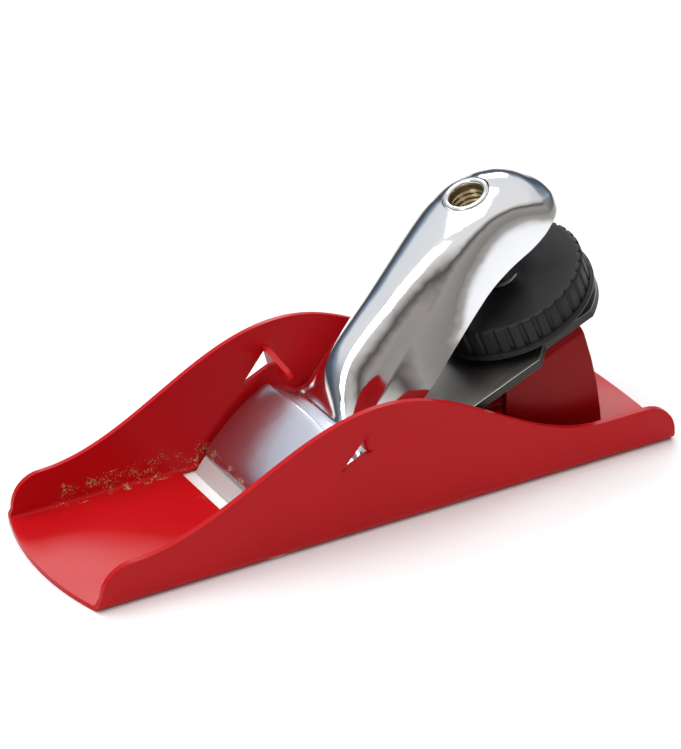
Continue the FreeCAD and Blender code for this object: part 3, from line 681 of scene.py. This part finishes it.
# --------------------------------------------------------------- lever cap
# Die cast and chromium plated: a wide dome that presses on the iron, a
# groove across it for the lugs, and a hollow arched tail.  Each station is
# run, crown, then half width and rise of the crease and of the lower edge.
CAP_STATIONS = [
    (3.7, 3.3, 18.4, 2.75, 18.6, 2.3),
    (4.2, 4.2, 18.7, 3.4, 18.9, 2.3),
    (8.7, 6.9, 18.9, 5.4, 19.1, 2.3),
    (15.0, 9.4, 19.0, 7.6, 19.2, 2.3),
    (20.0, 10.9, 19.0, 8.6, 19.2, 2.3),
    (22.6, 11.4, 19.0, 8.9, 19.2, 2.3),
    (23.1, 11.2, 18.9, 8.8, 19.1, 2.4),
    (23.35, 10.4, 18.4, 8.0, 18.6, 2.6),
    (25.6, 10.5, 16.4, 7.9, 16.8, 2.9),
    (26.2, 11.2, 15.0, 7.4, 16.2, 3.0),
    (27.6, 13.6, 12.6, 7.0, 15.6, 3.2),
    (30.5, 17.0, 10.8, 8.0, 15.3, 4.0),
    (34.4, 20.0, 9.6, 9.8, 15.0, 5.0),
    (40.0, 22.9, 9.2, 13.3, 14.6, 6.6),
    (46.0, 25.7, 9.0, 17.4, 14.2, 8.8),
    (54.4, 29.8, 8.9, 23.3, 13.7, 13.4),
    (62.5, 33.2, 8.7, 28.8, 12.5, 17.0),
    (69.0, 35.0, 8.2, 32.2, 11.6, 19.4),
    (75.0, 35.5, 8.2, 33.3, 10.9, 20.4),
    (80.0, 35.3, 8.2, 32.4, 10.5, 20.8),
    (84.0, 34.1, 8.0, 30.6, 10.1, 21.6),
    (87.0, 32.1, 7.3, 28.8, 9.4, 22.6),
    (89.6, 29.3, 5.8, 27.0, 7.7, 23.2),
    (91.4, 27.0, 3.8, 25.9, 5.0, 23.7),
    (92.2, 24.9, 1.4, 24.6, 2.0, 23.8),
]
CAP_WALL = 1.5
LIP_THINS = 6.0
LIP_END = 92.4
LIP_THINNEST = 0.25
ARCH_ROUND = 0.8
SHOULDER_START = 48.0
SHOULDER_FULL = 72.0
SHOULDER_PULL = 0.5
SKIRT_ROUND = 0.12
HOLE_RADIUS = 5.35
HOLE_EDGE = HOLE_RADIUS * 0.9
HOLE_SHARE = 0.75
ARCH_COLUMNS = 16
SKIRT_COLUMNS = 10
FRONT_RUNS = [3.7, 3.85, 4.2, 4.8, 6.0, 7.4, 9.0, 11.0, 13.0, 15.0, 17.0, 19.0, 20.5, 21.8,
              22.6, 22.85, 23.1, 23.22, 23.35, 24.2, 25.0, 25.6, 25.9, 26.2, 26.8, 27.6,
              28.6, 29.6, 30.8, 32.4, 34.4]


def cap_sizes(run):
    """Sizes of the cap's section there, by smooth curves through stations."""
    index = 0
    while index < len(CAP_STATIONS) - 2 and CAP_STATIONS[index + 1][0] < run:
        index += 1
    here, after = CAP_STATIONS[index], CAP_STATIONS[index + 1]
    before = CAP_STATIONS[max(index - 1, 0)]
    beyond = CAP_STATIONS[min(index + 2, len(CAP_STATIONS) - 1)]
    length = after[0] - here[0]
    share = (run - here[0]) / length
    sizes = []
    for kind in range(1, 6):
        slope = (after[kind] - here[kind]) / length
        start = steady(slope, here, before, kind)
        end = steady(slope, beyond, after, kind)
        square, cube = share * share, share ** 3
        sizes.append((2 * cube - 3 * square + 1) * here[kind]
                     + (cube - 2 * square + share) * length * start
                     + (3 * square - 2 * cube) * after[kind]
                     + (cube - square) * length * end)
    return sizes


def steady(slope, later, earlier, kind):
    """A slope at a station that never overshoots its two neighbours."""
    if later[0] == earlier[0]:
        return slope
    other = (later[kind] - earlier[kind]) / (later[0] - earlier[0])
    if other * slope <= 0:
        return 0.0
    return 2 * other * slope / (other + slope)


def arch_rise(run, across):
    """Rise of the arched crown of the cap there."""
    crown, crease_half, crease_rise, _, _ = cap_sizes(run)
    share = min(abs(across) / crease_half, 1.0) * ARCH_ROUND
    drop = (1 - math.sqrt(1 - share ** 2)) / (1 - math.sqrt(1 - ARCH_ROUND ** 2))
    return crown - (crown - crease_rise) * drop


def spaced(start, end, step):
    """Places a step apart, from the start and short of the end."""
    places = []
    while start < end:
        places.append(start)
        start += step
    return places


def cap_runs():
    """Where the cap's sections lie: close together where its shape turns."""
    hole = [SCREW_RUN + HOLE_EDGE * step / 6 for step in range(-8, 9)]
    tail_end = CAP_STATIONS[-1][0]
    tail_start = SCREW_RUN + HOLE_EDGE * 8 / 6 + 1.0
    return (FRONT_RUNS + spaced(36.0, 66.5, 1.6) + hole
            + spaced(tail_start, tail_end - 0.2, 0.6) + [tail_end])


def cap_row(run):
    """A section's places: a skirt, the arch with each place's share, a skirt."""
    _, crease_half, crease_rise, low_half, low_rise = cap_sizes(run)
    ease = min(max((run - SHOULDER_START) / (SHOULDER_FULL - SHOULDER_START), 0), 1)
    pull = SHOULDER_PULL * ease + SKIRT_ROUND
    turn_half = (low_half + crease_half) / 2 * (1 - pull) + low_half * pull
    turn_rise = (low_rise + crease_rise) / 2 * (1 - pull) + crease_rise * pull
    skirt = []
    for step in range(SKIRT_COLUMNS):
        share = step / SKIRT_COLUMNS
        first, second, third = (1 - share) ** 2, 2 * share * (1 - share), share ** 2
        skirt.append((run, -(first * low_half + second * turn_half + third * crease_half),
                      first * low_rise + second * turn_rise + third * crease_rise, None))
    shares = [2 * step / ARCH_COLUMNS - 1 for step in range(ARCH_COLUMNS + 1)]
    arch = [(run, share * crease_half, None, share) for share in shares]
    return skirt + arch + [(run, -across, rise, None) for _, across, rise, _ in reversed(skirt)]


def round_hole(run, across, share):
    """Draw a place near the screw onto a circle round its axis."""
    ahead = (run - SCREW_RUN) / HOLE_EDGE
    aside = share / HOLE_SHARE
    reach = max(abs(ahead), abs(aside))
    outer = 1 / HOLE_SHARE
    if not 1e-6 < reach < outer + 1e-6:
        return run, across
    pull = min((outer - reach) / (outer - 1), 1)
    length = math.hypot(ahead, aside)
    run += pull * (SCREW_RUN + HOLE_RADIUS * reach * ahead / length - run)
    across += pull * (HOLE_RADIUS * reach * aside / length - across)
    return run, across


def make_chrome_cap():
    runs = cap_runs()
    rows = [cap_row(run) for run in runs]
    places = []
    for run, across, rise, share in sum(rows, []):
        if share is not None:
            run, across = round_hole(run, across, share)
            rise = arch_rise(run, across)
        places.append(bed_place(run, across, rise))
    columns = len(rows[0])
    faces = []
    for face in sheet_faces(len(rows), columns):
        row, column = divmod(face[0], columns)
        middle = abs((runs[row] + runs[row + 1]) / 2 - SCREW_RUN)
        first, second = rows[row][column][3], rows[row][column + 1][3]
        on_arch = first is not None and second is not None
        if not (on_arch and abs(first + second) / 2 < HOLE_SHARE and middle < HOLE_EDGE):
            faces.append(face)
    piece = make_piece("chrome_cap", places, faces, 50)
    wall = piece.vertex_groups.new(name="wall")
    for corner in piece.data.vertices:
        run = (corner.co.x / MM - BED_FRONT) * BED_COS + (corner.co.z / MM - BED_RISE) * BED_SIN
        weight = min(max((LIP_END - run) / LIP_THINS, LIP_THINNEST), 1.0)
        wall.add([corner.index], weight, "REPLACE")
    thicken(piece, CAP_WALL, -1.0)
    piece.modifiers["gauge"].vertex_group = "wall"
    ease_edges(piece, 0.3, 3, 45)
    return piece


def chrome_plate(name):
    """Bright plate, a little wavy, hazed over the dome with a painted darker blue-grey
    reflection there, and dusty at its edges.
    """
    material, tree, shader, place = start_material(name)
    wave = noise(tree, place, 110.0, 2.0)
    haze = noise(tree, place, 60.0, 5.0)
    along, across, up = wire(tree, "ShaderNodeSeparateXYZ", {"Vector": place}).outputs
    front = times(tree, band(tree, along, -0.026, -0.0225, 0.0016),
                  band(tree, up, 0.0, 0.0062, 0.001))
    groove = times(tree, band(tree, along, -0.0068, 0.0005, 0.002),
                   band(tree, across, 0.002, 0.0155, 0.004))
    lie = larger(tree, times(tree, front, 0.36), times(tree, groove, 0.22))
    lie = times(tree, lie, band(tree, up, 0.0, 0.032, 0.002))
    dust = place_group(tree, wood_dust, {"Place": place, "Lie": lie, "Speck": 2400.0})
    # Over the dome the plate is rougher, and its colour is a painted darker blue-grey
    # reflection.
    dome_haze_and_painted_reflection = band(tree, along, -0.03, -0.0075, 0.003)
    colour = blend_colour(tree, haze, (0.80, 0.81, 0.84, 1), (0.88, 0.88, 0.89, 1))
    colour = blend_colour(tree, dome_haze_and_painted_reflection, colour, (0.64, 0.66, 0.74, 1))
    colour = blend_colour(tree, dust.outputs["Mask"], colour, dust.outputs["Colour"])
    rough = ranged(tree, haze, MIDDLING, (0.05, 0.11))
    rough = blend_value(tree, dome_haze_and_painted_reflection, rough, 0.30)
    rough = blend_value(tree, dust.outputs["Mask"], rough, 0.8)
    tree.links.new(colour, shader.inputs["Base Color"])
    tree.links.new(rough, shader.inputs["Roughness"])
    tree.links.new(blend_value(tree, dust.outputs["Mask"], 1.0, 0.0), shader.inputs["Metallic"])
    tree.links.new(bumped(tree, wave, 0.22, 0.0006).outputs["Normal"], shader.inputs["Normal"])
    return material


cap_chrome = chrome_plate("cap_chrome")
chrome_cap = make_chrome_cap()
chrome_cap.data.materials.append(cap_chrome)
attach(chrome_cap, "cap")
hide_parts("lever_cap")

BOSS_RADIUS = 6.2
BOSS_BOTTOM = 14.1
BOSS_SHOULDER = 33.0
BOSS_TOP = 33.7
SLEEVE_RADIUS = 4.65
BOSS_BORE = SLEEVE_RADIUS + 0.03
cap_boss = turned("cap_boss", [
    (BOSS_BORE, BOSS_BOTTOM), (BOSS_RADIUS - 0.4, BOSS_BOTTOM),
    (BOSS_RADIUS - 0.1, BOSS_BOTTOM + 0.1), (BOSS_RADIUS, BOSS_BOTTOM + 0.4),
    (BOSS_RADIUS, BOSS_SHOULDER), (BOSS_BORE, BOSS_TOP), (BOSS_BORE, BOSS_BOTTOM),
], (SCREW_RUN, 0, 0), 64, True)
cap_boss.data.materials.append(cap_chrome)
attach(cap_boss, "cap")

# ---------------------------------------------------------- threaded sleeve
# A steel sleeve pressed into the cap's boss and rolled over at the top.  Its
# thread takes the clamp screw; zinc passivation gives the bore its gold.
BORE = 3.75
PITCH = 1.25
THREAD_DEPTH = 0.55
RIM_RADIUS = 5.2
RIM_SEAT = 34.1
RIM_HEIGHT = 1.2


def threaded(name, radius, depth, start, end, before, after, sides=48):
    """A turned piece with a real screw thread between two heights."""
    steps = int((end - start) / PITCH * 8)
    places = []
    rows = [(r, z, False) for r, z in before]
    rows += [(radius, start + (end - start) * step / steps, True) for step in range(steps + 1)]
    rows += [(r, z, False) for r, z in after]
    for base, height, cut in rows:
        for side in range(sides):
            turn = math.tau * side / sides
            size = base
            if cut:
                phase = (height / PITCH - side / sides) % 1
                fade = min((height - start) / PITCH, (end - height) / PITCH, 1)
                size += depth * fade * abs(2 * phase - 1)
            places.append(bed_place(SCREW_RUN + size * math.cos(turn),
                                    size * math.sin(turn), height))
    return make_piece(name, places, ring_faces(len(rows), sides), 70)


def rolled_rim():
    """The rim's rounded section, from the bore outward."""
    middle = (BORE + RIM_RADIUS) / 2
    half = (RIM_RADIUS - BORE) / 2
    places = []
    for step in range(13):
        turn = math.pi * step / 12
        places.append((middle - half * math.cos(turn),
                       RIM_SEAT + 0.4 + (RIM_HEIGHT - 0.4) * math.sin(turn)))
    return places


steel_sleeve = threaded(
    "steel_sleeve", BORE, THREAD_DEPTH, BOSS_BOTTOM + 0.2, RIM_SEAT - 0.2,
    [(BORE, BOSS_BOTTOM)],
    rolled_rim() + [(RIM_RADIUS - 0.1, RIM_SEAT), (SLEEVE_RADIUS, RIM_SEAT),
                    (SLEEVE_RADIUS, BOSS_BOTTOM), (BORE, BOSS_BOTTOM)])


def sleeve_steel():
    """Gold-stained steel in the bore, and bright steel on the rolled rim."""
    material, tree, shader, place = start_material("sleeve_steel")
    stain = noise(tree, place, 420.0, 4.0)
    gold = blend_colour(tree, stain, (0.30, 0.22, 0.11, 1), (0.62, 0.52, 0.33, 1))
    axis = wire(tree, "ShaderNodeVectorMath", {0: place, 1: (-BED_SIN, 0.0, BED_COS)},
                operation="DOT_PRODUCT")
    rim_foot = BED_FRONT * -BED_SIN + BED_RISE * BED_COS + RIM_SEAT
    rim = ranged(tree, axis.outputs["Value"], (rim_foot * MM, (rim_foot + 0.7) * MM))
    colour = blend_colour(tree, rim, gold, (0.82, 0.82, 0.80, 1))
    rough = blend_value(tree, rim, 0.34, 0.14)
    tree.links.new(colour, shader.inputs["Base Color"])
    tree.links.new(rough, shader.inputs["Roughness"])
    shader.inputs["Metallic"].default_value = 1.0
    return material


steel_sleeve.data.materials.append(sleeve_steel())
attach(steel_sleeve, "cap")
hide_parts("threaded_bush")

# ------------------------------------------------ pressure foot, clamp screw
# A small disc bears on the iron, and the screw's pin turns in its socket.
# Both are zinc-plated steel; the screw is moulded into the thumbwheel.
FOOT_UNDER = 2.05
FOOT_TOP = 3.75
FOOT_RADIUS = 6.0
SOCKET_RADIUS = 2.05
SOCKET_FLOOR = FOOT_UNDER + 0.7
zinc = satin_steel("zinc_steel", (0.66, 0.66, 0.64, 1), (0.46, 0.46, 0.45, 1), (0.24, 0.38),
                   (900.0, 900.0, 900.0))
pressure_disc = turned("pressure_disc", [
    (AXIS_RADIUS, FOOT_UNDER), (FOOT_RADIUS - 0.3, FOOT_UNDER),
    (FOOT_RADIUS - 0.07, FOOT_UNDER + 0.1), (FOOT_RADIUS, FOOT_UNDER + 0.3),
    (FOOT_RADIUS, FOOT_TOP - 0.3), (FOOT_RADIUS - 0.07, FOOT_TOP - 0.1),
    (FOOT_RADIUS - 0.3, FOOT_TOP), (SOCKET_RADIUS + 0.2, FOOT_TOP),
    (SOCKET_RADIUS, FOOT_TOP - 0.2), (SOCKET_RADIUS, SOCKET_FLOOR),
    (AXIS_RADIUS, SOCKET_FLOOR),
], (SCREW_RUN, 0, 0), 56, True)
pressure_disc.data.materials.append(zinc)
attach(pressure_disc, "foot")
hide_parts("pressure_foot")

SCREW_RADIUS = 3.7
SCREW_END = 26.0
PIN_RADIUS = 2.0
PIN_END = SOCKET_FLOOR + 0.05
HUB_BOTTOM = 3.8
clamp_thread = threaded(
    "clamp_thread", SCREW_RADIUS - THREAD_DEPTH, THREAD_DEPTH, 11.2, 25.4,
    [(AXIS_RADIUS, PIN_END), (PIN_RADIUS - 0.3, PIN_END), (PIN_RADIUS, PIN_END + 0.3),
     (PIN_RADIUS, HUB_BOTTOM), (SCREW_RADIUS, HUB_BOTTOM), (SCREW_RADIUS, 11.1)],
    [(SCREW_RADIUS - 0.8, SCREW_END), (AXIS_RADIUS, SCREW_END)])
clamp_thread.data.materials.append(zinc)
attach(clamp_thread, "wheel")
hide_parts("clamp_screw")

# -------------------------------------------------------------- thumbwheel
# Moulded in black plastic on the screw: wide ribs with narrow grooves between
# them round the rim, a thin lip below, and a hub under it.
WHEEL_RADIUS = 18.2
WHEEL_LIP = 18.9
WHEEL_BOTTOM = 4.1
WHEEL_TOP = 11.6
RIBS = 36
RIB_STEPS = 14
GROOVE_DEPTH = 0.5
GROOVE_HALF = 0.55
HUB_RADIUS = 7.0
WHEEL_BORE = 3.75


def make_ribbed_wheel():
    """Turned from (radius, height, share of the grooves' depth) places."""
    sides = RIBS * RIB_STEPS
    profile = [
        (WHEEL_BORE, HUB_BOTTOM, 0), (HUB_RADIUS - 0.3, HUB_BOTTOM, 0),
        (HUB_RADIUS, HUB_BOTTOM + 0.25, 0), (HUB_RADIUS, WHEEL_BOTTOM, 0),
        (16.5, WHEEL_BOTTOM, 0), (18.5, WHEEL_BOTTOM, 0), (18.8, WHEEL_BOTTOM + 0.12, 0),
        (WHEEL_LIP, WHEEL_BOTTOM + 0.4, 0), (WHEEL_LIP, 5.1, 0), (18.8, 5.33, 0),
        (18.55, 5.42, 0.1), (18.25, 5.45, 1), (WHEEL_RADIUS, 5.7, 1), (WHEEL_RADIUS, 8.4, 1),
        (WHEEL_RADIUS, 10.9, 1), (18.15, 11.2, 1), (18.0, 11.42, 1), (17.7, 11.56, 0.7),
        (17.35, WHEEL_TOP, 0.15), (17.0, WHEEL_TOP, 0), (14.0, WHEEL_TOP - 0.02, 0),
        (9.0, WHEEL_TOP - 0.05, 0), (5.2, WHEEL_TOP - 0.05, 0), (4.9, WHEEL_TOP - 0.2, 0),
        (WHEEL_BORE, WHEEL_TOP - 0.2, 0), (WHEEL_BORE, HUB_BOTTOM, 0)]
    places = []
    for radius, height, ribbed in profile:
        for side in range(sides):
            share = (side % RIB_STEPS) / RIB_STEPS
            off = min(share, 1 - share) * math.tau * WHEEL_RADIUS / RIBS
            cut = GROOVE_DEPTH * ribbed * max(0.0, 1 - (off / GROOVE_HALF) ** 2) ** 0.5
            turn = math.tau * side / sides
            size = radius - cut
            places.append(bed_place(SCREW_RUN + size * math.cos(turn),
                                    size * math.sin(turn), height))
    return make_piece("ribbed_wheel", places, ring_faces(len(profile), sides), 38)


def black_plastic():
    material, tree, shader, place = start_material("satin_black_plastic")
    cloud = noise(tree, place, 120.0, 5.0)
    grain = bumped(tree, noise(tree, place, 2600.0, 2.0), 0.25, 0.00004)
    colour = blend_colour(tree, cloud, (0.007, 0.007, 0.0075, 1), (0.014, 0.014, 0.0145, 1))
    tree.links.new(colour, shader.inputs["Base Color"])
    tree.links.new(ranged(tree, cloud, MIDDLING, (0.42, 0.58)), shader.inputs["Roughness"])
    tree.links.new(grain.outputs["Normal"], shader.inputs["Normal"])
    shader.inputs["Specular IOR Level"].default_value = 0.28
    return material


ribbed_wheel = make_ribbed_wheel()
ribbed_wheel.data.materials.append(black_plastic())
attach(ribbed_wheel, "wheel")
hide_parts("thumbwheel")

# ------------------------------------------------------------ studio, camera
# A plain pale floor under soft lights, and the camera at a three-quarter
# view from above the toe.
FLOOR_HALF = 3000.0
FLOOR_HEIGHT = -0.05
PALE_REACH = (0.29, 0.50)
PLANE_MIDDLE = Vector((0, 0, 0.02))


def make_floor():
    """Pale round the plane, and darker far off, where only the chrome sees it."""
    floor = make_piece("studio_floor", [
        (-FLOOR_HALF, -FLOOR_HALF, FLOOR_HEIGHT), (FLOOR_HALF, -FLOOR_HALF, FLOOR_HEIGHT),
        (FLOOR_HALF, FLOOR_HALF, FLOOR_HEIGHT), (-FLOOR_HALF, FLOOR_HALF, FLOOR_HEIGHT),
    ], [(0, 1, 2, 3)])
    material, tree, shader, place = start_material("pale_floor")
    tone = noise(tree, place, 3.0, 2.0)
    colour = blend_colour(tree, tone, (0.90, 0.90, 0.90, 1), (0.93, 0.93, 0.93, 1))
    away = wire(tree, "ShaderNodeVectorMath", {0: place}, operation="LENGTH")
    far = ranged(tree, away.outputs["Value"], PALE_REACH)
    colour = blend_colour(tree, far, colour, (0.40, 0.38, 0.35, 1))
    tree.links.new(colour, shader.inputs["Base Color"])
    shader.inputs["Roughness"].default_value = 0.9
    shader.inputs["Specular IOR Level"].default_value = 0.1
    floor.data.materials.append(material)


def soft_light(name, place, size, power, colour=(1, 1, 1)):
    """An area light that looks at the plane; places are in metres."""
    light = bpy.data.lights.new(name, "AREA")
    light.shape = "RECTANGLE"
    light.size, light.size_y = size
    light.energy = power
    light.color = colour
    lamp = bpy.data.objects.new(name, light)
    lamp.location = place
    lamp.rotation_euler = (PLANE_MIDDLE - Vector(place)).to_track_quat("-Z", "Y").to_euler()
    bpy.context.scene.collection.objects.link(lamp)


make_floor()
soft_light("overhead_box", (-0.15, 0.1, 0.75), (0.7, 0.5), 3.2)
soft_light("rear_box", (0.62, 1.05, 0.70), (0.55, 0.4), 4.2)
soft_light("left_box", (-0.9, -0.25, 0.65), (0.35, 0.5), 2.2, (0.93, 0.97, 1.0))

# The room round the plane: white overhead, darker low down, cool behind and
# warm in front, so that the bright metal has something to mirror.
world = bpy.data.worlds.new("soft_room")
bpy.context.scene.world = world
world.use_nodes = True
room = world.node_tree
backdrop = room.nodes["Background"]
direction = room.nodes.new("ShaderNodeTexCoord").outputs["Generated"]
room_axes = wire(room, "ShaderNodeSeparateXYZ", {"Vector": direction})


def room_tones(tones):
    """The room's tone from straight down to straight up."""
    ramp = wire(room, "ShaderNodeValToRGB", {"Fac": room_axes.outputs["Z"]})
    elements = ramp.color_ramp.elements
    while len(elements) < len(tones):
        elements.new(0.5)
    for element, (place, tone) in zip(elements, tones):
        element.position = place
        element.color = (*tone, 1)
    return ramp.outputs["Color"]


cool_side = room_tones([(0.0, (0.07, 0.08, 0.10)), (0.17, (0.10, 0.13, 0.18)),
                        (0.30, (0.30, 0.36, 0.44)), (0.42, (0.92, 0.95, 1.0)),
                        (1.0, (1.0, 1.0, 1.0))])
warm_side = room_tones([(0.0, (0.30, 0.28, 0.26)), (0.22, (0.42, 0.39, 0.36)),
                        (0.36, (0.10, 0.085, 0.08)), (0.46, (0.60, 0.57, 0.54)),
                        (0.62, (1.0, 1.0, 1.0))])
room_side = ranged(room, room_axes.outputs["Y"], (-0.4, 0.4))
room.links.new(blend_colour(room, room_side, warm_side, cool_side), backdrop.inputs["Color"])
backdrop.inputs["Strength"].default_value = 0.85
bpy.context.scene.view_settings.view_transform = "Standard"

# A long lens, looking down over the near wall from ahead and to the side.
CAMERA_TARGET = Vector((-0.51, 0.0, 26.43)) * MM
CAMERA_BACK = Vector((-0.437, -0.756, 0.487)).normalized()
CAMERA_DISTANCE = 846.3 * MM
camera_data = bpy.data.cameras.new("studio_camera")
camera_data.lens = 192.3
camera_data.sensor_width = 36.0
camera_data.clip_start = 0.05
camera = bpy.data.objects.new("studio_camera", camera_data)
camera.location = CAMERA_TARGET + CAMERA_BACK * CAMERA_DISTANCE
camera.rotation_euler = (-CAMERA_BACK).to_track_quat("-Z", "Y").to_euler()
bpy.context.scene.collection.objects.link(camera)
bpy.context.scene.camera = camera
